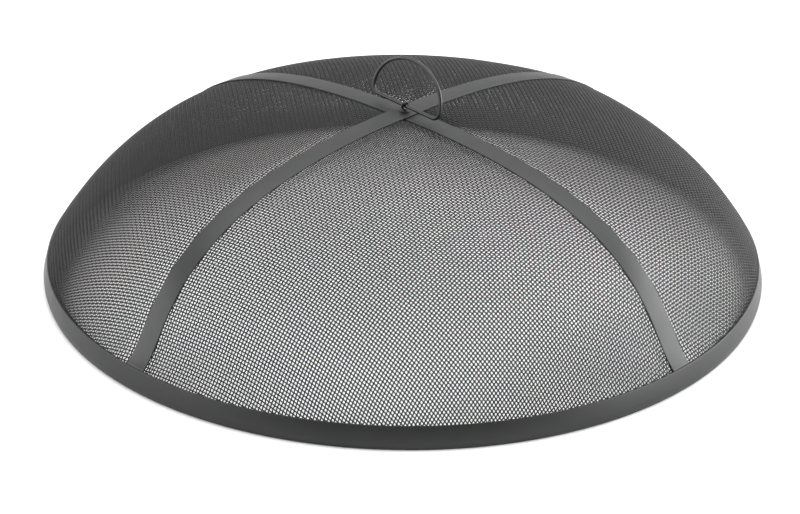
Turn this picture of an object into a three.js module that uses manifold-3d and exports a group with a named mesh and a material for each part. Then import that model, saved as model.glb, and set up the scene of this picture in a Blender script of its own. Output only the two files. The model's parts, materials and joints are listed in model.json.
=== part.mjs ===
// A domed wire-mesh spark screen for a round fire pit, 36 inches (914 mm) across.
// Millimetres, +Z up. The origin is the centre of the circle that the rim rests on.
// A sheet of woven wire is domed and held at its edge between an outer rim band and an inner
// clamp band. Two flat straps cross over it at right angles. An eye bolt through the crossing
// holds the straps, the mesh and a swinging D-ring handle together.
import * as THREE from "three";
import { mergeVertices } from "three/addons/utils/BufferGeometryUtils.js";
import Module from "manifold-3d";

// ---- driving dimensions ----
const RIM_RADIUS = 457.2; // widest radius of the rim band: half of 36 inches
const DOME_HEIGHT = 212.5; // top of the lower strap at the crossing, above the resting face
const GAP = 0.3; // clearance between neighbouring solids
const STRAP_ANGLE = Math.PI / 4; // each strap's turn from the X axis, one each way

// outer rim band: a formed strip with a hem turned in along its lower edge
const BAND_HEIGHT = 29;
const BAND_THICKNESS = 1.6;
const BAND_TOP_RADIUS = 452.2; // outside radius of its upper edge
const BAND_WIDEST_HEIGHT = 9; // height of its widest line
const BAND_FOOT_RADIUS = 455.4; // outside radius where the wall meets the hem's corner
const BAND_BOW = { inset: 0.3, height: 4.5 }; // a point of the rounded wall between those two
const HEM_WIDTH = 11; // flat underside, from the corner inwards

// straps
const CROSSING_RADIUS = 15; // straps and mesh are flat this far out from the bolt
const STRAP_WIDTH = 28.6;
const STRAP_THICKNESS = 2;
const STRAP_FOOT_HEIGHT = 17; // lower end of a strap, inside the band
// the two middle control points of its line over the dome
const STRAP_CROWN = { reach: 408, rise: 0 }; // from the top of the crown
const STRAP_SHOULDER = { inset: 48, rise: 42 }; // from the band's upper edge

// woven mesh: one closed sheet with the wire's own weight, half-way through the weave's depth
const WEAVE_DEPTH = 2.6; // room for two wires, one over the other
const SHEET_THICKNESS = 0.7;
const MESH_FOOT_HEIGHT = 7; // lower edge of the mesh, between the two bands
// the mesh half-way between two straps bulges past them, along its own line
const PANEL_CROWN = { reach: 354, rise: 21.5 };
const PANEL_SHOULDER = { inset: 4.6, rise: 16.7 };

// inner clamp band
const CLAMP_THICKNESS = 1.6;
const CLAMP_FOOT_HEIGHT = 5;
const CLAMP_TOP_HEIGHT = 23.5;

// eye bolt, washers and nut
const EYE_WIRE_RADIUS = 1.5; // the eye and its shank are one bent wire
const HOLE_RADIUS = EYE_WIRE_RADIUS + GAP;
const EYE_HOLE_RADIUS = 2.9;
const SMALL_WASHER = { radius: 7, thickness: 1 };
const LARGE_WASHER = { radius: 15, thickness: 1.5 };
const NUT_ACROSS_FLATS = 5.5;
const NUT_HEIGHT = 2.4;
const SHANK_SHOWING = 2; // shank below the nut
const NUT_SIDES = 6;

// D-ring handle
const RING_WIRE_RADIUS = 2.4;
const RING_HALF_WIDTH = 61.7; // centre line
const RING_HEIGHT = 58; // centre line, from the straight leg to the top of the bow
const RING_CORNER_RADIUS = 10;
const RING_AZIMUTH = 40; // degrees from -Y towards +X that the straight leg points
const RING_LEAN = 14; // degrees that the bow leans back from upright

// facets
// Turns are multiples of 8, so that the middle of each strap meets a corner.
const BAND_TURNS = 144; // round the two bands
const DOME_TURNS = 72; // round the mesh
const DOME_STEPS = 16; // from the crown down to the rim, alike for straps and mesh
const WASHER_TURNS = 32;
const SHANK_TURNS = 24; // round the shank and every hole for it
const EYE_SIDES = 12; // round the eye's wire
const EYE_TURNS = 32; // along the eye's wire
const RING_SIDES = 10; // round the handle's wire
const RING_STEPS = 72; // along the handle's wire
const MERGE_DISTANCE = 1e-3; // closer corners than this are one corner

// colours of the finishes
const BLACK_COAT = 0x2c2d2f;
const GREY_COAT = 0x3a3b3d;
const MESH_COAT = 0x1f2022;
const ZINC_PLATE = 0xa9abb0;

// ---- derived sizes ----
const wallRadius = (height) => {
  const slope = (RIM_RADIUS - BAND_TOP_RADIUS) / (BAND_HEIGHT - BAND_WIDEST_HEIGHT);
  return RIM_RADIUS - slope * (height - BAND_WIDEST_HEIGHT);
};
// distances from the band's outside face in to the outside face of each layer behind it
const STRAP_INSET = BAND_THICKNESS + 2 * GAP;
const WEAVE_INSET = STRAP_INSET + STRAP_THICKNESS + GAP;
const CLAMP_INSET = WEAVE_INSET + WEAVE_DEPTH + GAP;
const upperStrapTop = DOME_HEIGHT + STRAP_THICKNESS + GAP;
// the sheet's two faces, in from a strap's outside face
const sheetOuter = STRAP_THICKNESS + GAP + (WEAVE_DEPTH - SHEET_THICKNESS) / 2;
const sheetInner = sheetOuter + SHEET_THICKNESS;
const eyeRadius = EYE_HOLE_RADIUS + EYE_WIRE_RADIUS;
const smallWasherBase = upperStrapTop + GAP;
const eyeHeight = smallWasherBase + SMALL_WASHER.thickness + GAP + eyeRadius + EYE_WIRE_RADIUS;
const weaveUnderside = DOME_HEIGHT - STRAP_THICKNESS - GAP - WEAVE_DEPTH;
const largeWasherBase = weaveUnderside - GAP - LARGE_WASHER.thickness;
const nutBase = largeWasherBase - GAP - NUT_HEIGHT;
const shankBase = nutBase - SHANK_SHOWING;

// ---- materials: satin black powder coat, and zinc-plated hardware underneath ----
const coat = (color) => new THREE.MeshStandardMaterial({ color, roughness: 0.55, metalness: 0.3 });
const plated = () => new THREE.MeshStandardMaterial({ color: ZINC_PLATE, roughness: 0.35, metalness: 0.9 });

// ---- helpers ----
const wasm = await Module();
wasm.setup();

function solidFrom(geometry) {
  const bare = geometry.clone();
  bare.deleteAttribute("normal");
  bare.deleteAttribute("uv");
  const merged = mergeVertices(bare, MERGE_DISTANCE);
  return new wasm.Manifold(
    new wasm.Mesh({
      numProp: 3,
      vertProperties: merged.attributes.position.array,
      triVerts: new Uint32Array(merged.index.array),
    }),
  );
}

function geometryFrom(solid) {
  const made = solid.getMesh();
  return new THREE.BufferGeometry()
    .setAttribute("position", new THREE.BufferAttribute(made.vertProperties, 3))
    .setIndex(new THREE.BufferAttribute(made.triVerts, 1));
}

function piece(name, geometry, material) {
  const mesh = new THREE.Mesh(geometry, material);
  mesh.name = name;
  return mesh;
}

const point = (radius, height) => new THREE.Vector2(radius, height);

// Turns a closed outline of (radius, height) points about the Z axis.
function turned(outline, segments) {
  return new THREE.LatheGeometry([...outline, outline[0]], segments).rotateX(Math.PI / 2);
}

// A straight cylinder standing on the Z axis.
function post(radius, bottom, top, segments) {
  const geometry = new THREE.CylinderGeometry(radius, radius, top - bottom, segments);
  return geometry.rotateX(Math.PI / 2).translate(0, 0, (bottom + top) / 2);
}

// An outside line: flat under the crossing, down to the band's upper edge, and on behind the band.
function domeLine(top, crown, shoulder, foot) {
  const edge = point(wallRadius(BAND_HEIGHT) - STRAP_INSET, BAND_HEIGHT);
  const curve = new THREE.CubicBezierCurve(
    point(CROSSING_RADIUS, top),
    point(crown.reach, top + crown.rise),
    point(edge.x - shoulder.inset, edge.y + shoulder.rise),
    edge,
  );
  const behindBand = point(wallRadius(foot) - STRAP_INSET, foot);
  return [point(0, top), ...curve.getPoints(DOME_STEPS), behindBand];
}

// The same line moved inwards, square to itself, by a distance.
function offsetLine(line, distance) {
  return line.map((here, index) => {
    const before = line[Math.max(index - 1, 0)];
    const after = line[Math.min(index + 1, line.length - 1)];
    const along = after.clone().sub(before).normalize();
    return point(here.x + along.y * distance, here.y - along.x * distance);
  });
}

// ---- sub-parts ----
function rimBand() {
  const outside = [
    point(BAND_FOOT_RADIUS, 0),
    point(RIM_RADIUS - BAND_BOW.inset, BAND_BOW.height),
    point(RIM_RADIUS, BAND_WIDEST_HEIGHT),
    point(BAND_TOP_RADIUS, BAND_HEIGHT),
  ];
  const inside = [
    point(BAND_TOP_RADIUS - BAND_THICKNESS, BAND_HEIGHT),
    point(RIM_RADIUS - BAND_THICKNESS, BAND_WIDEST_HEIGHT),
    point(BAND_FOOT_RADIUS - BAND_THICKNESS, BAND_THICKNESS),
    point(BAND_FOOT_RADIUS - HEM_WIDTH, BAND_THICKNESS),
    point(BAND_FOOT_RADIUS - HEM_WIDTH, 0),
  ];
  return piece("rim_band", turned([...outside, ...inside], BAND_TURNS), coat(BLACK_COAT));
}

function clampBand() {
  const face = (height, depth) => point(wallRadius(height) - CLAMP_INSET - depth, height);
  const outline = [
    face(CLAMP_FOOT_HEIGHT, 0),
    face(CLAMP_TOP_HEIGHT, 0),
    face(CLAMP_TOP_HEIGHT, CLAMP_THICKNESS),
    face(CLAMP_FOOT_HEIGHT, CLAMP_THICKNESS),
  ];
  return piece("inner_clamp_band", turned(outline, BAND_TURNS), coat(BLACK_COAT));
}

// The mesh follows the strap line under the straps and the fuller panel line between them.
function meshDome() {
  const loop = (crown, shoulder) => {
    const line = domeLine(DOME_HEIGHT, crown, shoulder, MESH_FOOT_HEIGHT);
    const outside = offsetLine(line, sheetOuter);
    const inside = offsetLine(line, sheetInner);
    outside[0].x = HOLE_RADIUS;
    inside[0].x = HOLE_RADIUS;
    return [...inside, ...outside.reverse(), inside[0]];
  };
  const underStrap = loop(STRAP_CROWN, STRAP_SHOULDER);
  const midPanel = loop(PANEL_CROWN, PANEL_SHOULDER);
  const geometry = new THREE.LatheGeometry(underStrap, DOME_TURNS);
  const place = geometry.getAttribute("position");
  const each = underStrap.length;
  for (let index = 0; index < place.count; index += 1) {
    const angle = (2 * Math.PI * Math.floor(index / each)) / DOME_TURNS;
    const fullness = Math.sin(2 * (angle - STRAP_ANGLE)) ** 2;
    const here = underStrap[index % each].clone().lerp(midPanel[index % each], fullness);
    place.setXYZ(index, here.x * Math.sin(angle), here.y, here.x * Math.cos(angle));
  }
  return piece("mesh_dome", geometry.rotateX(Math.PI / 2), coat(MESH_COAT));
}

// A flat strap from rim to rim over the dome. Its side view is extruded by its width.
function strap(name, top, azimuth) {
  const half = domeLine(top, STRAP_CROWN, STRAP_SHOULDER, STRAP_FOOT_HEIGHT);
  const mirrored = (line) => line.slice(1).map((here) => point(-here.x, here.y));
  const outer = [...mirrored(half).reverse(), ...half];
  const underside = offsetLine(outer, STRAP_THICKNESS);
  const sideView = new THREE.Shape([...outer, ...underside.reverse()]);
  const bar = new THREE.ExtrudeGeometry(sideView, { depth: STRAP_WIDTH, bevelEnabled: false });
  bar.translate(0, 0, -STRAP_WIDTH / 2).rotateX(Math.PI / 2).rotateZ(azimuth);
  const hole = post(HOLE_RADIUS, top - 2 * STRAP_THICKNESS, top + STRAP_THICKNESS, SHANK_TURNS);
  return piece(name, geometryFrom(solidFrom(bar).subtract(solidFrom(hole))), coat(GREY_COAT));
}

function washer(name, size, base, material) {
  const outline = [
    point(HOLE_RADIUS, base),
    point(size.radius, base),
    point(size.radius, base + size.thickness),
    point(HOLE_RADIUS, base + size.thickness),
  ];
  return piece(name, turned(outline, WASHER_TURNS), material);
}

function hexNut() {
  const cornerRadius = NUT_ACROSS_FLATS / 2 / Math.cos(Math.PI / NUT_SIDES);
  const block = post(cornerRadius, nutBase, nutBase + NUT_HEIGHT, NUT_SIDES);
  const bore = post(HOLE_RADIUS, nutBase - GAP, nutBase + NUT_HEIGHT + GAP, SHANK_TURNS);
  return piece("hex_nut", geometryFrom(solidFrom(block).subtract(solidFrom(bore))), plated());
}

// A wire bent into an eye on a straight shank. The eye's hole points along the handle's straight leg.
function eyeBolt() {
  const eye = new THREE.TorusGeometry(eyeRadius, EYE_WIRE_RADIUS, EYE_SIDES, EYE_TURNS);
  eye.rotateX(Math.PI / 2).translate(0, 0, eyeHeight);
  const shankTop = eyeHeight - eyeRadius + EYE_WIRE_RADIUS / 2;
  const shank = post(EYE_WIRE_RADIUS, shankBase, shankTop, SHANK_TURNS);
  const mesh = piece("eye_bolt", geometryFrom(solidFrom(eye).add(solidFrom(shank))), coat(GREY_COAT));
  mesh.rotation.z = THREE.MathUtils.degToRad(RING_AZIMUTH);
  return mesh;
}

// The D-ring's centre line, with its straight leg on the X axis and its bow towards +Y.
function ringPath() {
  const corner = RING_CORNER_RADIUS;
  const outline = new THREE.Path();
  outline.moveTo(0, 0);
  outline.lineTo(RING_HALF_WIDTH - corner, 0);
  outline.absarc(RING_HALF_WIDTH - corner, corner, corner, -Math.PI / 2, 0);
  outline.absellipse(0, corner, RING_HALF_WIDTH, RING_HEIGHT - corner, 0, Math.PI);
  outline.absarc(corner - RING_HALF_WIDTH, corner, corner, Math.PI, 1.5 * Math.PI);
  outline.closePath();
  const points = outline.getSpacedPoints(RING_STEPS).slice(0, -1);
  return new THREE.CatmullRomCurve3(points.map((p) => new THREE.Vector3(p.x, p.y, 0)), true);
}

function handleRing() {
  const wire = new THREE.TubeGeometry(ringPath(), RING_STEPS, RING_WIRE_RADIUS, RING_SIDES, true);
  const mesh = piece("handle_ring", wire, coat(BLACK_COAT));
  mesh.rotation.x = THREE.MathUtils.degToRad(90 - RING_LEAN);
  const pivot = new THREE.Group();
  pivot.position.z = eyeHeight;
  pivot.rotation.z = THREE.MathUtils.degToRad(RING_AZIMUTH - 90);
  pivot.add(mesh);
  return pivot;
}

// ---- the assembly ----
const screen = new THREE.Group();
screen.add(rimBand());
screen.add(clampBand());
screen.add(meshDome());
screen.add(strap("lower_strap", DOME_HEIGHT, -STRAP_ANGLE));
screen.add(strap("upper_strap", upperStrapTop, STRAP_ANGLE));
screen.add(washer("eye_washer", SMALL_WASHER, smallWasherBase, coat(GREY_COAT)));
screen.add(eyeBolt());
screen.add(washer("mesh_washer", LARGE_WASHER, largeWasherBase, plated()));
screen.add(hexNut());
screen.add(handleRing());

export default screen;
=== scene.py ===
# A domed woven-wire spark screen for a round fire pit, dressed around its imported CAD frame.
# Metres, +Z up. The CAD gives the places; the lines of the dome are those of the CAD straps and mesh.
import json
import math

import bpy
import numpy as np
from mathutils import Matrix, Vector


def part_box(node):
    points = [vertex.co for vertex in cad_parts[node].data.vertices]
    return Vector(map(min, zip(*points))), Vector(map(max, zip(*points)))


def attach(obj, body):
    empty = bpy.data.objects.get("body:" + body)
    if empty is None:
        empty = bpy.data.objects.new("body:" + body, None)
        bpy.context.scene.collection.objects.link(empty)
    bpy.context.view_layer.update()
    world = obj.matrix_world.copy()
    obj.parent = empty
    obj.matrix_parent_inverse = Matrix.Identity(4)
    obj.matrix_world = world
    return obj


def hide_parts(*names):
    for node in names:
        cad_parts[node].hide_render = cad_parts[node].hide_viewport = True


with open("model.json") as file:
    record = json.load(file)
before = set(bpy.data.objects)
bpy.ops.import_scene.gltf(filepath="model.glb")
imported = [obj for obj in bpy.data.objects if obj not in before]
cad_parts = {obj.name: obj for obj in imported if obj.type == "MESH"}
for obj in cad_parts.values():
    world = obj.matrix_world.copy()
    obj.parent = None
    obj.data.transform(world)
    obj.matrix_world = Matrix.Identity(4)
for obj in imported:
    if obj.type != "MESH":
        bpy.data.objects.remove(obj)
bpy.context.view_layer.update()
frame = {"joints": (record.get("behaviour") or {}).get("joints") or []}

MM = 0.001

# ---- the frame's own sizes ----
RIM_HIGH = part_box("rim_band")[1]
RIM_RADIUS = RIM_HIGH.x
BAND_HEIGHT = RIM_HIGH.z
CLAMP_LOW, CLAMP_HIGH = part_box("inner_clamp_band")
LOWER_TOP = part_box("lower_strap")[1].z
UPPER_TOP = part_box("upper_strap")[1].z
HINGE = frame["joints"][0]
PIVOT = Vector(HINGE["pos_m"])
LEG_LINE = Vector(HINGE["axis"])

# ---- sizes shared with the CAD part ----
GAP = 0.3 * MM
BAND_THICKNESS = 1.6 * MM
BAND_TOP_RADIUS = 452.2 * MM
BAND_WIDEST_HEIGHT = 9 * MM
BAND_MIDDLE_HEIGHT = 20 * MM
BAND_BULGE = 0.12 * MM  # of its wall, there
BAND_FOOT_RADIUS = 455.4 * MM
HEM_WIDTH = 11 * MM
LIP_REACH = 2.1 * MM  # the band's upper edge is rolled in this far, on to the straps
CROSSING_RADIUS = 15 * MM
STRAP_WIDTH = 28.6 * MM
STRAP_THICKNESS = 2 * MM
STRAP_FOOT_HEIGHT = 17 * MM
# control points of the dome lines: (reach, rise) from the crown, (inset, rise) from the band's edge
STRAP_CROWN = (408 * MM, 0)
STRAP_SHOULDER = (48 * MM, 42 * MM)
PANEL_CROWN = (354 * MM, 21.5 * MM)
PANEL_SHOULDER = (4.6 * MM, 16.7 * MM)
STRAP_ANGLE = math.pi / 4
WEAVE_SPACE = 2.6 * MM
CLAMP_THICKNESS = 1.6 * MM
EYE_WIRE = 1.5 * MM
EYE_HOLE = 2.9 * MM
HOLE_RADIUS = EYE_WIRE + GAP
NUT_FLATS = 5.5 * MM
RING_WIRE = 2.4 * MM
RING_HALF_WIDTH = 61.7 * MM
RING_HEIGHT = 58 * MM
RING_CORNER = 10 * MM
RING_LEAN = math.radians(14)

# ---- softened edges and small forms ----
STRAP_ROUNDING = 0.7 * MM
CLAMP_ROUNDING = 0.5 * MM
WASHER_ROUNDING = 0.25 * MM
NUT_CHAMFER = 0.35 * MM
NUT_ROUND_END = 1.01  # the nut's round ends, over the distance from its middle to a flat
BORE_CHAMFER = 0.25 * MM  # outwards, at each end of the nut's bore
BORE_CHAMFER_HEIGHT = 0.2 * MM
EYE_START, EYE_END = math.radians(-62), math.radians(268)  # from level, round to the shank
# the shank below the eye: how far each point has come in to the middle, and how far down
SHANK_BEND = ((0.4, 0.03), (0.75, 0.08), (0.95, 0.14), (1, 0.22), (1, 0.6), (1, 1))

# ---- facets ----
BAND_TURNS = 480
SMALL_TURNS = 96
CORNER_STEPS = 4
STRAP_STEPS = 90
EYE_STEPS = 60
EYE_SIDES = 20
RING_SIDES = 24
LEG_STEPS = 60
BEND_STEPS = 16
BOW_STEPS = 120

# ---- the weave ----
WIRE_HALF_WIDTH = 0.87 * MM  # rolled a little flat, over its coating
WIRE_HALF_DEPTH = 0.58 * MM
PITCH = 4.13 * MM  # along each wire, crossing to crossing
WEAVE_ROOM = 2.1  # half depths of wire from a strap's underside to the weave's middle
WEAVE_TURN = math.radians(6.2)  # the wires' turn from the straps
WEAVE_REACH = 132  # crossings from the crown to beyond the rim
WEAVE_FOOT = 8.5 * MM  # the wires end here, between the two bands
SHORTEST_WIRE = 4  # crossings
WIRE_SIDES = 6
WIRES_PER_PIECE = 17
KNUCKLE = 0.27  # of the pitch, from a crossing to where its wire starts to slope
PANEL_LIFT = 0.6 * MM  # beside the straps the mesh stands out past their undersides
BAND_LIFT = 2.5 * MM  # and further still where it meets the band
BAND_LIFT_HEIGHT = 40 * MM  # above the band's edge, where that begins
STRAP_EDGE_LIFT = 0.2 * MM  # it is flat under a strap, so it lies this far out at the strap's edges
PANEL_FADE = STRAP_WIDTH / 2  # from a strap's edge to where the panel is full
UPPER_FADE = 3 * STRAP_WIDTH  # from the upper strap's edge to where the mesh no longer rises to it

# ---- derived lines ----
BAND_SLOPE = (RIM_RADIUS - BAND_TOP_RADIUS) / (BAND_HEIGHT - BAND_WIDEST_HEIGHT)
STRAP_INSET = BAND_THICKNESS + 2 * GAP
CLAMP_INSET = STRAP_INSET + STRAP_THICKNESS + 2 * GAP + WEAVE_SPACE
EDGE_RADIUS = BAND_TOP_RADIUS - STRAP_INSET
WEAVE_DEPTH = STRAP_THICKNESS + WEAVE_ROOM * WIRE_HALF_DEPTH  # its middle, in from a strap's face


def wall_radius(height):
    """The rim band's outside radius, above its widest height."""
    return RIM_RADIUS - BAND_SLOPE * (height - BAND_WIDEST_HEIGHT)


def line_controls(top, crown, shoulder):
    """The four control points (radius, height) of a dome line that ends at the band's upper edge."""
    return np.array([
        (CROSSING_RADIUS, top),
        (crown[0], top + crown[1]),
        (EDGE_RADIUS - shoulder[0], BAND_HEIGHT + shoulder[1]),
        (EDGE_RADIUS, BAND_HEIGHT),
    ])


def bezier(controls, t):
    """Points of cubic curves, controls (..., 4, 2) at t (...)."""
    t = np.asarray(t)[..., None]
    a, b, c, d = (controls[..., k, :] for k in range(4))
    return (1 - t) ** 3 * a + 3 * (1 - t) ** 2 * t * b + 3 * (1 - t) * t ** 2 * c + t ** 3 * d


STRAP_LINE = line_controls(LOWER_TOP, STRAP_CROWN, STRAP_SHOULDER)
PANEL_LINE = line_controls(LOWER_TOP, PANEL_CROWN, PANEL_SHOULDER)

# the height of the upper strap's line over the lower strap's, by radius
RISE_STEPS = np.linspace(0, 1, 200)
RISE_RADII = bezier(STRAP_LINE, RISE_STEPS)[:, 0]
RISES = (UPPER_TOP - LOWER_TOP) * (1 - RISE_STEPS) ** 2 * (1 + 2 * RISE_STEPS)


# ---- the dome as a height over the floor ----
# The table of heights has a row for each blend and a column for each radius.
RADII = np.linspace(0, EDGE_RADIUS, 1200)
BLENDS = np.linspace(0, 1, 33)
CURVE_STEPS = np.linspace(0, 1, 4001)
TABLE_MARGIN = 0.001  # a place in the table stops this far short of its last row and column
SLOPE_STEP = 0.1 * MM
NORMAL_STEP = 1 * MM


def height_table():
    """Height by blend from the strap line to the panel line, and by radius."""
    rows = []
    for blend in BLENDS:
        curve = bezier(STRAP_LINE + (PANEL_LINE - STRAP_LINE) * blend, CURVE_STEPS)
        rows.append(np.interp(RADII, curve[:, 0], curve[:, 1]))
    return np.array(rows)


HEIGHTS = height_table()


def dome_height(x, y):
    """Height of the straps' outside line, or of the fuller panel line between them."""
    radius = np.hypot(x, y)
    blend = np.sin(2 * (np.arctan2(y, x) - STRAP_ANGLE)) ** 2
    row = np.clip(blend * (len(BLENDS) - 1), 0, len(BLENDS) - 1 - TABLE_MARGIN)
    column = np.clip(radius / RADII[1], 0, len(RADII) - 1 - TABLE_MARGIN)
    i, j = row.astype(int), column.astype(int)
    u, v = row - i, column - j
    inner = HEIGHTS[i, j] * (1 - u) + HEIGHTS[i + 1, j] * u
    outer = HEIGHTS[i, j + 1] * (1 - u) + HEIGHTS[i + 1, j + 1] * u
    below = np.maximum(radius - EDGE_RADIUS, 0) / BAND_SLOPE
    return inner * (1 - v) + outer * v - below


def lifted(plan):
    """Points of the dome's surface over plan positions (x, y)."""
    return np.concatenate([plan, dome_height(plan[..., 0], plan[..., 1])[..., None]], -1)


def slopes(plan, step):
    """The dome's slope along X and along Y."""
    x, y = plan[..., 0], plan[..., 1]
    across = (dome_height(x + step, y) - dome_height(x - step, y)) / (2 * step)
    along = (dome_height(x, y + step) - dome_height(x, y - step)) / (2 * step)
    return across, along


def normals(plan):
    """The way straight out of the dome."""
    across, along = slopes(plan, NORMAL_STEP)
    out = np.stack([-across, -along, np.ones_like(across)], -1)
    return out / np.linalg.norm(out, axis=-1, keepdims=True)


# ---- the weave as a net of equal steps on the dome ----
WIRE_REACH = np.linspace(0, 1.08 * EDGE_RADIUS, 6000)  # from the crown to beyond the rim
NET_MARGIN = 5 * MM  # the net stops this far outside the rim
NEWTON_STEPS = 8
LONGEST_STEP = 0.5 * PITCH


def straight_wire(angle):
    """Crossings along the straight wire that leaves the crown at an angle."""
    way = np.array([math.cos(angle), math.sin(angle)])
    path = lifted(WIRE_REACH[:, None] * way)
    length = np.r_[0, np.cumsum(np.linalg.norm(np.diff(path, axis=0), axis=1))]
    return np.interp(PITCH * np.arange(WEAVE_REACH + 1), length, WIRE_REACH)[:, None] * way


def net_quarter(first, second):
    """Fills the net between two straight wires: each crossing is one pitch from both neighbours."""
    size = WEAVE_REACH + 1
    net = np.full((size, size, 2), np.nan)
    net[:, 0] = first
    net[0, :] = second
    for total in range(2, 2 * WEAVE_REACH + 1):
        i = np.arange(max(1, total - WEAVE_REACH), min(WEAVE_REACH, total - 1) + 1)
        j = total - i
        a, b, back = net[i - 1, j], net[i, j - 1], net[i - 1, j - 1]
        live = np.isfinite(a[:, 0]) & np.isfinite(b[:, 0]) & np.isfinite(back[:, 0])
        i, j, a, b, back = i[live], j[live], a[live], b[live], back[live]
        if not len(i):
            break
        plan = one_pitch_from(a, b, a + b - back)
        plan[np.hypot(plan[:, 0], plan[:, 1]) > RIM_RADIUS + NET_MARGIN] = np.nan
        net[i, j] = plan
    return net


def one_pitch_from(a, b, plan):
    """Newton's steps to the points of the dome that are one pitch from both a and b."""
    a3, b3 = lifted(a), lifted(b)
    for _ in range(NEWTON_STEPS):
        here = lifted(plan)
        across, along = slopes(plan, SLOPE_STEP)
        from_a, from_b = here - a3, here - b3
        error_a = (from_a ** 2).sum(1) - PITCH ** 2
        error_b = (from_b ** 2).sum(1) - PITCH ** 2
        ax = 2 * (from_a[:, 0] + from_a[:, 2] * across)
        ay = 2 * (from_a[:, 1] + from_a[:, 2] * along)
        bx = 2 * (from_b[:, 0] + from_b[:, 2] * across)
        by = 2 * (from_b[:, 1] + from_b[:, 2] * along)
        whole = ax * by - ay * bx
        step = np.stack([error_a * by - error_b * ay, ax * error_b - bx * error_a], -1) / whole[:, None]
        long = np.linalg.norm(step, axis=1, keepdims=True)
        plan = plan - step * np.minimum(1, LONGEST_STEP / np.maximum(long, 1e-12))
    return plan


def weave_net():
    """Plan positions of every crossing, [i + REACH, j + REACH], NaN beyond the rim."""
    size = 2 * WEAVE_REACH + 1
    net = np.full((size, size, 2), np.nan)
    wires = [straight_wire(STRAP_ANGLE + WEAVE_TURN + k * math.pi / 2) for k in range(4)]
    steps = np.arange(WEAVE_REACH + 1)
    i, j = np.meshgrid(steps, steps, indexing="ij")
    for k, (cosine, sine) in enumerate(((1, 0), (0, 1), (-1, 0), (0, -1))):
        quarter = net_quarter(wires[k], wires[(k + 1) % 4])
        row = cosine * i - sine * j + WEAVE_REACH
        column = sine * i + cosine * j + WEAVE_REACH
        net[row, column] = quarter
    return net


# ---- mesh helpers ----
def mesh_object(name, points, faces, body, material, smooth=True):
    """An object from points and quads or triangles as arrays, riding on a body."""
    mesh = bpy.data.meshes.new(name)
    points = np.asarray(points, np.float32)
    faces = [np.asarray(f, np.int32) for f in (faces if isinstance(faces, list) else [faces])]
    faces = [f for f in faces if len(f)]
    corners = np.concatenate([f.ravel() for f in faces])
    counts = np.concatenate([np.full(len(f), f.shape[1], np.int32) for f in faces])
    mesh.vertices.add(len(points))
    mesh.vertices.foreach_set("co", points.ravel())
    mesh.loops.add(len(corners))
    mesh.loops.foreach_set("vertex_index", corners)
    mesh.polygons.add(len(counts))
    mesh.polygons.foreach_set("loop_start", np.r_[0, np.cumsum(counts)[:-1]].astype(np.int32))
    mesh.polygons.foreach_set("use_smooth", np.full(len(counts), smooth))
    mesh.update(calc_edges=True)
    mesh.validate()
    made = bpy.data.objects.new(name, mesh)
    bpy.context.scene.collection.objects.link(made)
    made.data.materials.append(material)
    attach(made, body)
    return made


def lathe(outline, turns):
    """Points and quads of a closed outline of (radius, height) turned about Z."""
    outline = np.asarray(outline)
    angle = np.linspace(0, 2 * math.pi, turns, endpoint=False)
    points = np.stack([
        np.outer(np.cos(angle), outline[:, 0]),
        np.outer(np.sin(angle), outline[:, 0]),
        np.tile(outline[:, 1], (turns, 1)),
    ], -1)
    return points.reshape(-1, 3), grid_faces(turns, len(outline), True, True)


def grid_faces(rows, columns, rows_closed, columns_closed):
    """Quads of a grid of points in row order, closed round either way."""
    r = np.arange(rows if rows_closed else rows - 1)
    c = np.arange(columns if columns_closed else columns - 1)
    r, c = np.meshgrid(r, c, indexing="ij")
    r, c = r.ravel(), c.ravel()
    r2, c2 = (r + 1) % rows, (c + 1) % columns
    return np.stack([r * columns + c, r2 * columns + c, r2 * columns + c2, r * columns + c2], -1)


def rounded(corners, radius):
    """A closed outline whose corners, (x, y) going round, are rounded off by a radius."""
    corners = np.asarray(corners, float)
    out = []
    for k, here in enumerate(corners):
        back = corners[k - 1] - here
        on = corners[(k + 1) % len(corners)] - here
        reach = min(radius, 0.45 * np.linalg.norm(back), 0.45 * np.linalg.norm(on))
        start = here + back / np.linalg.norm(back) * reach
        end = here + on / np.linalg.norm(on) * reach
        for t in np.linspace(0, 1, CORNER_STEPS + 1):
            out.append((1 - t) ** 2 * start + 2 * t * (1 - t) * here + t ** 2 * end)
    return np.array(out)


def tube(path, radius, sides, closed, side_way):
    """Points and faces of a round tube along a path, with flat ends where it isn't closed."""
    path = np.asarray(path, float)
    if closed:
        along = np.roll(path, -1, 0) - np.roll(path, 1, 0)
    else:
        along = np.gradient(path, axis=0)
    along /= np.linalg.norm(along, axis=1, keepdims=True)
    first = np.asarray(side_way, float)
    first = first - along * (along @ first)[:, None]
    first /= np.linalg.norm(first, axis=1, keepdims=True)
    second = np.cross(along, first)
    angle = np.linspace(0, 2 * math.pi, sides, endpoint=False)
    ring = np.cos(angle)[:, None] * first[:, None, :] + np.sin(angle)[:, None] * second[:, None, :]
    points = (path[:, None, :] + radius * ring).reshape(-1, 3)
    faces = [grid_faces(len(path), sides, closed, True)]
    if not closed:
        last = (len(path) - 1) * sides
        faces.append(np.arange(sides)[None, :])
        faces.append((last + np.arange(sides)[::-1])[None, :])
    return points, faces


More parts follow.
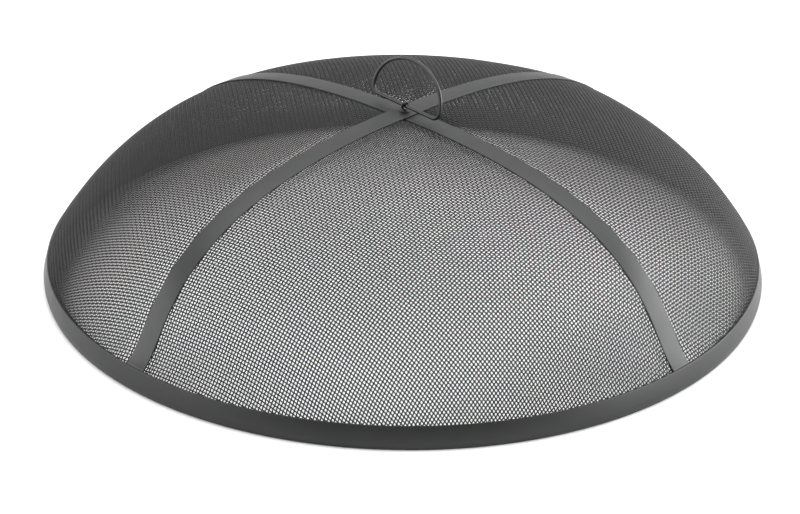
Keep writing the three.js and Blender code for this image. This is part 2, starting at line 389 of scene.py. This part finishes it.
# ---- materials ----
# powder coats: darkest and lightest tone, roughness, specular level, and the peel's scale and strength
BAND_COAT = ((0.009, 0.0093, 0.0098), (0.012, 0.0124, 0.013), 0.42, 0.42, 900.0, 0.05)
STRAP_COAT = ((0.010, 0.0104, 0.011), (0.014, 0.0145, 0.0152), 0.44, 0.48, 900.0, 0.05)
WIRE_COAT = ((0.003, 0.003, 0.0032), (0.005, 0.005, 0.0053), 0.36, 0.36, 1500.0, 0.03)
HANDLE_COAT = ((0.005, 0.0052, 0.0056), (0.007, 0.0073, 0.0077), 0.28, 0.5, 900.0, 0.05)
PEEL_HEIGHT = 0.2 * MM


def principled(name):
    """A new material, its nodes and links, and its shader."""
    material = bpy.data.materials.new(name)
    material.use_nodes = True
    nodes = material.node_tree.nodes
    return material, nodes, material.node_tree.links, nodes["Principled BSDF"]


def object_noise(nodes, links, scale, detail):
    """Noise in the object's own space, so that it stays with the piece."""
    place = nodes.new("ShaderNodeTexCoord")
    noise = nodes.new("ShaderNodeTexNoise")
    noise.inputs["Scale"].default_value = scale
    noise.inputs["Detail"].default_value = detail
    links.new(place.outputs["Object"], noise.inputs["Vector"])
    return noise


def colour_ramp(nodes, links, noise, dark, light):
    """A change from dark to light over the middle of the noise's range."""
    ramp = nodes.new("ShaderNodeValToRGB")
    ramp.color_ramp.elements[0].position = 0.3
    ramp.color_ramp.elements[1].position = 0.7
    ramp.color_ramp.elements[0].color = (*dark, 1)
    ramp.color_ramp.elements[1].color = (*light, 1)
    links.new(noise.outputs["Fac"], ramp.inputs["Fac"])
    return ramp


def roughness_range(nodes, links, noise, low, high):
    """The noise as a roughness between low and high."""
    spread = nodes.new("ShaderNodeMapRange")
    spread.inputs["To Min"].default_value = low
    spread.inputs["To Max"].default_value = high
    links.new(noise.outputs["Fac"], spread.inputs["Value"])
    return spread


def powder_coat(name, dark, light, roughness, specular, grain, depth):
    """Satin powder coat: cloudy tone, slightly uneven gloss and a fine orange peel."""
    material, nodes, links, shader = principled(name)
    shader.inputs["Specular IOR Level"].default_value = specular
    cloud = object_noise(nodes, links, scale=14.0, detail=4.0)
    tone = colour_ramp(nodes, links, cloud, dark, light)
    links.new(tone.outputs["Color"], shader.inputs["Base Color"])
    gloss = object_noise(nodes, links, scale=60.0, detail=3.0)
    spread = roughness_range(nodes, links, gloss, roughness - 0.05, roughness + 0.06)
    links.new(spread.outputs["Result"], shader.inputs["Roughness"])
    peel = object_noise(nodes, links, scale=grain, detail=2.0)
    bump = nodes.new("ShaderNodeBump")
    bump.inputs["Strength"].default_value = depth
    bump.inputs["Distance"].default_value = PEEL_HEIGHT
    links.new(peel.outputs["Fac"], bump.inputs["Height"])
    links.new(bump.outputs["Normal"], shader.inputs["Normal"])
    return material


def zinc_plate(name):
    """Bright zinc with patches of duller passivation."""
    material, nodes, links, shader = principled(name)
    patch = object_noise(nodes, links, scale=160.0, detail=5.0)
    tone = colour_ramp(nodes, links, patch, (0.36, 0.37, 0.38), (0.56, 0.57, 0.58))
    links.new(tone.outputs["Color"], shader.inputs["Base Color"])
    spread = roughness_range(nodes, links, patch, 0.28, 0.46)
    links.new(spread.outputs["Result"], shader.inputs["Roughness"])
    shader.inputs["Metallic"].default_value = 1.0
    return material


# ---- the pieces ----
def rim_band(material):
    """A strip formed into a ring: a hem under it, a slightly convex wall and a rolled upper edge."""
    outside = [
        (BAND_FOOT_RADIUS - 0.6 * MM, 0.15 * MM),
        (BAND_FOOT_RADIUS + 0.3 * MM, 1.0 * MM),
        (RIM_RADIUS - 0.35 * MM, 4.5 * MM),
        (RIM_RADIUS - 0.04 * MM, 7 * MM),
        (RIM_RADIUS, BAND_WIDEST_HEIGHT),
        (RIM_RADIUS - 0.25 * MM, 11.5 * MM),
        (wall_radius(BAND_MIDDLE_HEIGHT) + BAND_BULGE, BAND_MIDDLE_HEIGHT),
        (BAND_TOP_RADIUS + 0.25 * MM, BAND_HEIGHT - 1.0 * MM),
        (BAND_TOP_RADIUS - 0.1 * MM, BAND_HEIGHT - 0.15 * MM),
        (BAND_TOP_RADIUS - 0.5 * MM, BAND_HEIGHT),
    ]
    inside = [
        (BAND_TOP_RADIUS - LIP_REACH + 0.5 * MM, BAND_HEIGHT),
        (BAND_TOP_RADIUS - LIP_REACH, BAND_HEIGHT - 0.5 * MM),
        (BAND_TOP_RADIUS - LIP_REACH + 0.1 * MM, BAND_HEIGHT - 1.2 * MM),
        (wall_radius(BAND_HEIGHT - 3 * MM) - BAND_THICKNESS, BAND_HEIGHT - 3 * MM),
        (wall_radius(BAND_MIDDLE_HEIGHT) - BAND_THICKNESS, BAND_MIDDLE_HEIGHT),
        (RIM_RADIUS - BAND_THICKNESS, BAND_WIDEST_HEIGHT),
        (RIM_RADIUS - BAND_THICKNESS - 0.3 * MM, 4.5 * MM),
        (BAND_FOOT_RADIUS - BAND_THICKNESS, BAND_THICKNESS + 0.5 * MM),
        (BAND_FOOT_RADIUS - BAND_THICKNESS - 0.6 * MM, BAND_THICKNESS),
        (BAND_FOOT_RADIUS - HEM_WIDTH + 0.4 * MM, BAND_THICKNESS),
        (BAND_FOOT_RADIUS - HEM_WIDTH, BAND_THICKNESS - 0.4 * MM),
        (BAND_FOOT_RADIUS - HEM_WIDTH, 0.4 * MM),
        (BAND_FOOT_RADIUS - HEM_WIDTH + 0.4 * MM, 0),
        (BAND_FOOT_RADIUS - 1.4 * MM, 0),
    ]
    points, faces = lathe(outside + inside, BAND_TURNS)
    made = mesh_object("rim_band_fine", points, faces, "screen", material)
    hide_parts("rim_band")


def clamp_band(material):
    """The plain ring behind the rim band that holds the mesh's edge."""
    def face(height, depth):
        return wall_radius(height) - CLAMP_INSET - depth, height

    low, high = CLAMP_LOW.z, CLAMP_HIGH.z
    corners = [face(low, 0), face(high, 0), face(high, CLAMP_THICKNESS), face(low, CLAMP_THICKNESS)]
    points, faces = lathe(rounded(corners, CLAMP_ROUNDING), BAND_TURNS)
    made = mesh_object("inner_clamp_band_fine", points, faces, "screen", material)
    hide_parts("inner_clamp_band")


def strap_path(top):
    """The middle line of a strap's outside face, (out along the strap, height), foot to foot."""
    half = bezier(line_controls(top, STRAP_CROWN, STRAP_SHOULDER), np.linspace(0, 1, STRAP_STEPS))
    foot = (wall_radius(STRAP_FOOT_HEIGHT) - STRAP_INSET, STRAP_FOOT_HEIGHT)
    half = np.vstack([[(0, top)], half, [foot]])
    mirrored = half[:0:-1] * (-1, 1)
    return np.vstack([mirrored, half])


def strap(name, top, azimuth, material):
    """A flat bar with softened edges, swept along its line, with feet cut square."""
    path = strap_path(top)
    along = np.gradient(path, axis=0)
    along /= np.linalg.norm(along, axis=1, keepdims=True)
    outward = np.stack([-along[:, 1], along[:, 0]], -1)
    half = STRAP_WIDTH / 2
    corners = [(-half, 0), (half, 0), (half, -STRAP_THICKNESS), (-half, -STRAP_THICKNESS)]
    section = rounded(corners, STRAP_ROUNDING)[::-1]
    across = np.broadcast_to(section[:, 0], (len(path), len(section)))
    out = path[:, None, 0] + outward[:, None, 0] * section[None, :, 1]
    height = path[:, None, 1] + outward[:, None, 1] * section[None, :, 1]
    points = np.stack([out, across, height], -1).reshape(-1, 3)
    last = (len(path) - 1) * len(section)
    faces = [
        grid_faces(len(path), len(section), False, True),
        np.arange(len(section))[None, :],
        (last + np.arange(len(section))[::-1])[None, :],
    ]
    turn = np.array(Matrix.Rotation(azimuth, 3, "Z"))
    made = mesh_object(name + "_fine", points @ turn.T, faces, "screen", material)
    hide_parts(name)


def washer(name, node, material):
    """A flat ring with softened edges, in a CAD washer's place."""
    low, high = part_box(node)
    corners = [
        (HOLE_RADIUS, low.z),
        (high.x, low.z),
        (high.x, high.z),
        (HOLE_RADIUS, high.z),
    ]
    points, faces = lathe(rounded(corners, WASHER_ROUNDING), SMALL_TURNS)
    made = mesh_object(name, points, faces, "screen", material)
    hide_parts(node)


def hex_nut(material):
    """A hexagon with round ends and a chamfered bore."""
    low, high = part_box("hex_nut")
    angle = np.linspace(0, 2 * math.pi, SMALL_TURNS, endpoint=False)
    from_flat = (angle + math.pi / 6) % (math.pi / 3) - math.pi / 6
    hexagon = NUT_FLATS / 2 / np.cos(from_flat)
    round_end = np.minimum(hexagon, NUT_FLATS / 2 * NUT_ROUND_END)
    bore = np.full(SMALL_TURNS, HOLE_RADIUS)
    rings = [
        (bore, low.z + BORE_CHAMFER_HEIGHT),
        (bore + BORE_CHAMFER, low.z),
        (round_end, low.z),
        (hexagon, low.z + NUT_CHAMFER),
        (hexagon, high.z - NUT_CHAMFER),
        (round_end, high.z),
        (bore + BORE_CHAMFER, high.z),
        (bore, high.z - BORE_CHAMFER_HEIGHT),
    ]
    points = np.stack([
        np.stack([radius * np.cos(angle), radius * np.sin(angle), np.full(SMALL_TURNS, height)], -1)
        for radius, height in rings
    ], 1).reshape(-1, 3)
    faces = grid_faces(SMALL_TURNS, len(rings), True, True)
    made = mesh_object("hex_nut_fine", points, faces, "screen", material, smooth=False)
    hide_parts("hex_nut")


def eye_bolt(material):
    """One wire: round the eye, and down through the crossing as the shank."""
    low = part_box("eye_bolt")[0]
    radius = EYE_HOLE + EYE_WIRE
    sideways = LEG_LINE.cross(Vector((0, 0, 1))).normalized()
    loop = [
        PIVOT + sideways * radius * math.cos(a) + Vector((0, 0, radius * math.sin(a)))
        for a in np.linspace(EYE_START, EYE_END, EYE_STEPS)
    ]
    neck = loop[-1]
    shank = [
        Vector((neck.x * (1 - inward), neck.y * (1 - inward), neck.z + (low.z - neck.z) * down))
        for inward, down in SHANK_BEND
    ]
    points, faces = tube(loop + shank, EYE_WIRE, EYE_SIDES, False, LEG_LINE)
    made = mesh_object("eye_bolt_fine", points, faces, "screen", material)
    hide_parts("eye_bolt")


def ring_outline():
    """The D's centre line: straight leg on the first axis, bow towards the second."""
    corner = RING_CORNER
    inner = RING_HALF_WIDTH - corner
    leg = [(x, 0) for x in np.linspace(-inner, inner, LEG_STEPS)]
    right = [
        (inner + corner * math.cos(a), corner + corner * math.sin(a))
        for a in np.linspace(-math.pi / 2, 0, BEND_STEPS)[1:]
    ]
    bow = [
        (RING_HALF_WIDTH * math.cos(a), corner + (RING_HEIGHT - corner) * math.sin(a))
        for a in np.linspace(0, math.pi, BOW_STEPS)[1:]
    ]
    left = [
        (-inner + corner * math.cos(a), corner + corner * math.sin(a))
        for a in np.linspace(math.pi, 1.5 * math.pi, BEND_STEPS)[1:-1]
    ]
    return leg + right + bow + left


def handle_ring(material):
    """The D-ring in the eye, leaning back from upright."""
    leg = LEG_LINE.normalized()
    back = Vector((0, 0, 1)).cross(leg).normalized()
    if back.y < 0:
        back = -back
    bow = back * math.sin(RING_LEAN) + Vector((0, 0, math.cos(RING_LEAN)))
    path = [PIVOT + leg * x + bow * y for x, y in ring_outline()]
    points, faces = tube(path, RING_WIRE, RING_SIDES, True, leg.cross(bow))
    made = mesh_object("handle_ring_fine", points, faces, "handle", material)
    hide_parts("handle_ring")


# ---- the woven wires ----
def wire_runs(row):
    """Stretches of one net line that lie on the dome, as arrays of indices."""
    live = np.isfinite(row[:, 0])
    height = np.where(live, dome_height(np.nan_to_num(row[:, 0]), np.nan_to_num(row[:, 1])), -1)
    inside = np.flatnonzero(height > WEAVE_FOOT)
    runs = np.split(inside, np.flatnonzero(np.diff(inside) > 1) + 1)
    return [run for run in runs if len(run) >= SHORTEST_WIRE]


def eased(value):
    """From 0 to 1 with level ends, as the value goes from 0 to 1."""
    value = np.clip(value, 0, 1)
    return (3 - 2 * value) * value ** 2


def stands_out(surface):
    """How far the mesh stands out of its line: flat under a strap, up to the upper strap, and
    fuller in the panels and at the band."""
    half = STRAP_WIDTH / 2
    from_upper, from_lower = (
        np.abs(surface[:, 0] - side * surface[:, 1]) * math.sqrt(0.5) for side in (1, -1)
    )
    from_strap = np.minimum(from_upper, from_lower)
    flat = STRAP_EDGE_LIFT * np.minimum(from_strap / half, 1) ** 2
    at_band = eased((BAND_HEIGHT + BAND_LIFT_HEIGHT - surface[:, 2]) / BAND_LIFT_HEIGHT)
    fullness = PANEL_LIFT + (BAND_LIFT - PANEL_LIFT) * at_band
    panel = eased((from_strap - half) / PANEL_FADE) * fullness
    rise = np.interp(np.hypot(surface[:, 0], surface[:, 1]), RISE_RADII, RISES)
    by_upper = 1 - eased((from_upper - half) / UPPER_FADE)
    clear_of_lower = eased((from_lower - half) / PANEL_FADE)
    return flat + panel + rise * by_upper * clear_of_lower


def wire_path(row, run, over):
    """Centre line of a wire that goes over and under by turns, and the way out of the dome."""
    plan = row[run]
    count = len(run)
    place = np.arange(count)
    knots = np.sort(np.concatenate([place - KNUCKLE, place + KNUCKLE]))
    knots = np.clip(knots, 0, count - 1)
    knots[0], knots[-1] = 0, count - 1
    spline = np.stack([np.interp(knots, place, plan[:, k]) for k in range(2)], -1)
    surface = lifted(spline)
    outward = normals(spline)
    nearest = np.rint(knots).astype(int)
    side = np.where((run[nearest] + over) % 2 == 0, 1.0, -1.0)
    depth = stands_out(surface) - WEAVE_DEPTH + side * WIRE_HALF_DEPTH
    return surface + outward * depth[:, None], outward


def woven_piece(name, wires, material):
    """Several wires as one mesh, with flat ends."""
    all_points, quads, ends, offset = [], [], [], 0
    angle = np.linspace(0, 2 * math.pi, WIRE_SIDES, endpoint=False)
    for path, outward in wires:
        along = np.gradient(path, axis=0)
        along /= np.linalg.norm(along, axis=1, keepdims=True)
        sideways = np.cross(along, outward)
        sideways /= np.linalg.norm(sideways, axis=1, keepdims=True)
        upward = np.cross(sideways, along)
        tall = WIRE_HALF_DEPTH * np.cos(angle)[:, None] * upward[:, None]
        wide = WIRE_HALF_WIDTH * np.sin(angle)[:, None] * sideways[:, None]
        points = (path[:, None] + tall + wide).reshape(-1, 3)
        all_points.append(points)
        quads.append(grid_faces(len(path), WIRE_SIDES, False, True)[:, ::-1] + offset)
        last = offset + (len(path) - 1) * WIRE_SIDES
        ends.append((offset + np.arange(WIRE_SIDES))[None, :])
        ends.append((last + np.arange(WIRE_SIDES)[::-1])[None, :])
        offset += len(points)
    faces = [np.vstack(quads), np.vstack(ends)]
    made = mesh_object(name, np.vstack(all_points), faces, "screen", material)
    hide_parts("mesh_dome")


def woven_mesh(material):
    """Every wire both ways, in pieces of neighbouring wires."""
    net = weave_net()
    size = net.shape[0]
    for family, name in enumerate(("warp", "weft")):
        wires = []
        for index in range(size):
            row = net[:, index] if family == 0 else net[index]
            over = index + family
            wires += [wire_path(row, run, over) for run in wire_runs(row)]
        for number, start in enumerate(range(0, len(wires), WIRES_PER_PIECE)):
            together = wires[start:start + WIRES_PER_PIECE]
            woven_piece(f"mesh_{name}_{number + 1:02d}", together, material)


# ---- the studio ----
# painted glow: the floor emits light in a disc under the screen, standing in for light through the
# mesh; it is no lamp
PAINTED_GLOW_RADIUS = 440 * MM
PAINTED_GLOW_FADE = 20 * MM  # its soft edge
PAINTED_GLOW_FRONT_BACK = (0.53, 0.4)  # at its front and at its back
ROOM_LIGHT = 0.5
ROOM_GRADIENT = (0.0, 0.49, 0.08)  # more light from behind the object than from the camera
SOFTBOXES = (  # name, place, width and height, and power
    ("right_softbox", (3.0, 0.1, 1.0), (4.8, 2.0), 182),
    ("left_softbox", (-3.3, -0.5, 1.1), (4.4, 1.8), 78),
    ("overhead_softbox", (0.0, 0.3, 3.6), (5.0, 5.0), 190),
)
CAMERA_DISTANCE = 3.125
CAMERA_HEIGHT_ANGLE = math.radians(27.2)
CAMERA_TURN = math.radians(-1.5)
CAMERA_LENS = 109.38
SENSOR_WIDTH = 36
FAR_CLIP = 50
AIM_UP = 9.3 * MM
AIM_RIGHT = -3.95 * MM
CAMERA_ROLL = math.radians(0.66)
FLOOR_REACH = 30.0
FLOOR_DROP = 0.1 * MM  # so that the rim's underside and the floor don't flicker


def make_camera():
    """The camera, at its distance and angles from the origin, and turned a little to its aim."""
    flat = CAMERA_DISTANCE * math.cos(CAMERA_HEIGHT_ANGLE)
    place = Vector((
        flat * math.sin(CAMERA_TURN),
        -flat * math.cos(CAMERA_TURN),
        CAMERA_DISTANCE * math.sin(CAMERA_HEIGHT_ANGLE),
    ))
    right = place.cross(Vector((0, 0, 1))).normalized() * -1
    up = right.cross(-place).normalized()
    aim = up * AIM_UP + right * AIM_RIGHT
    ahead = (aim - place).normalized()
    right = ahead.cross(Vector((0, 0, 1))).normalized()
    up = right.cross(ahead)
    tilted = (right + up * math.tan(CAMERA_ROLL)).normalized()
    up = tilted.cross(ahead)
    data = bpy.data.cameras.new("camera")
    data.sensor_width = SENSOR_WIDTH
    data.lens = CAMERA_LENS
    data.clip_end = FAR_CLIP
    camera = bpy.data.objects.new("camera", data)
    camera.matrix_world = Matrix((
        (tilted.x, up.x, -ahead.x, place.x),
        (tilted.y, up.y, -ahead.y, place.y),
        (tilted.z, up.z, -ahead.z, place.z),
        (0, 0, 0, 1),
    ))
    bpy.context.scene.collection.objects.link(camera)
    bpy.context.scene.camera = camera


def floor_paint_and_painted_glow():
    """Matt white studio paint, with a painted glow in a round disc of the floor under the screen,
    brighter at its front than at its back: emission standing in for the white floor seen through the
    mesh, not a lamp.
    """
    material, nodes, links, shader = principled("floor_paint_and_painted_glow")
    shader.inputs["Base Color"].default_value = (0.88, 0.88, 0.88, 1)
    shader.inputs["Roughness"].default_value = 0.95
    shader.inputs["Emission Color"].default_value = (1, 1, 1, 1)
    place = nodes.new("ShaderNodeTexCoord")
    radius = nodes.new("ShaderNodeVectorMath")
    radius.operation = "LENGTH"
    # the disc's mask and front-to-back strength for the painted glow
    panel = nodes.new("ShaderNodeMapRange")
    panel.inputs["From Min"].default_value = PAINTED_GLOW_RADIUS
    panel.inputs["From Max"].default_value = PAINTED_GLOW_RADIUS - PAINTED_GLOW_FADE
    depth = nodes.new("ShaderNodeSeparateXYZ")
    glow = nodes.new("ShaderNodeMapRange")
    glow.inputs["From Min"].default_value = -PAINTED_GLOW_RADIUS
    glow.inputs["From Max"].default_value = PAINTED_GLOW_RADIUS
    glow.inputs["To Min"].default_value, glow.inputs["To Max"].default_value = PAINTED_GLOW_FRONT_BACK
    links.new(place.outputs["Object"], depth.inputs["Vector"])
    links.new(depth.outputs["Y"], glow.inputs["Value"])
    links.new(glow.outputs["Result"], panel.inputs["To Max"])
    links.new(place.outputs["Object"], radius.inputs[0])
    links.new(radius.outputs["Value"], panel.inputs["Value"])
    links.new(panel.outputs["Result"], shader.inputs["Emission Strength"])
    return material


def make_floor():
    """A wide floor, just below the rim's underside."""
    far = FLOOR_REACH
    corners = [(-far, -far, 0), (far, -far, 0), (far, far, 0), (-far, far, 0)]
    mesh = bpy.data.meshes.new("floor")
    mesh.from_pydata(corners, [], [(0, 1, 2, 3)])
    floor = bpy.data.objects.new("floor", mesh)
    floor.data.materials.append(floor_paint_and_painted_glow())
    floor.location.z = -FLOOR_DROP
    bpy.context.scene.collection.objects.link(floor)


def area_light(name, place, size, power):
    """A softbox that faces the origin."""
    data = bpy.data.lights.new(name, "AREA")
    data.shape = "RECTANGLE"
    data.size, data.size_y = size
    data.energy = power
    light = bpy.data.objects.new(name, data)
    light.location = place
    light.rotation_euler = (-Vector(place)).to_track_quat("-Z", "Y").to_euler()
    bpy.context.scene.collection.objects.link(light)


def make_room():
    """A white room whose light changes evenly from its front to its back."""
    world = bpy.data.worlds.new("studio")
    world.use_nodes = True
    nodes, links = world.node_tree.nodes, world.node_tree.links
    way = nodes.new("ShaderNodeTexCoord")
    lean = nodes.new("ShaderNodeVectorMath")
    lean.operation = "DOT_PRODUCT"
    lean.inputs[1].default_value = ROOM_GRADIENT
    total = nodes.new("ShaderNodeMath")
    total.inputs[1].default_value = ROOM_LIGHT
    links.new(way.outputs["Generated"], lean.inputs[0])
    links.new(lean.outputs["Value"], total.inputs[0])
    links.new(total.outputs["Value"], nodes["Background"].inputs["Strength"])
    nodes["Background"].inputs["Color"].default_value = (1, 1, 1, 1)
    bpy.context.scene.world = world


def make_studio():
    make_room()
    for softbox in SOFTBOXES:
        area_light(*softbox)
    bpy.context.scene.view_settings.view_transform = "Standard"


def main():
    make_camera()
    make_floor()
    make_studio()
    band = powder_coat("band_powder_coat", *BAND_COAT)
    bar = powder_coat("strap_powder_coat", *STRAP_COAT)
    wire = powder_coat("wire_coat", *WIRE_COAT)
    rod = powder_coat("handle_powder_coat", *HANDLE_COAT)
    zinc = zinc_plate("zinc_plate")
    rim_band(band)
    clamp_band(band)
    strap("lower_strap", LOWER_TOP, -STRAP_ANGLE, bar)
    strap("upper_strap", UPPER_TOP, STRAP_ANGLE, bar)
    washer("eye_washer_fine", "eye_washer", bar)
    washer("mesh_washer_fine", "mesh_washer", zinc)
    hex_nut(zinc)
    eye_bolt(rod)
    handle_ring(rod)
    woven_mesh(wire)


main()
bpy.context.view_layer.update()
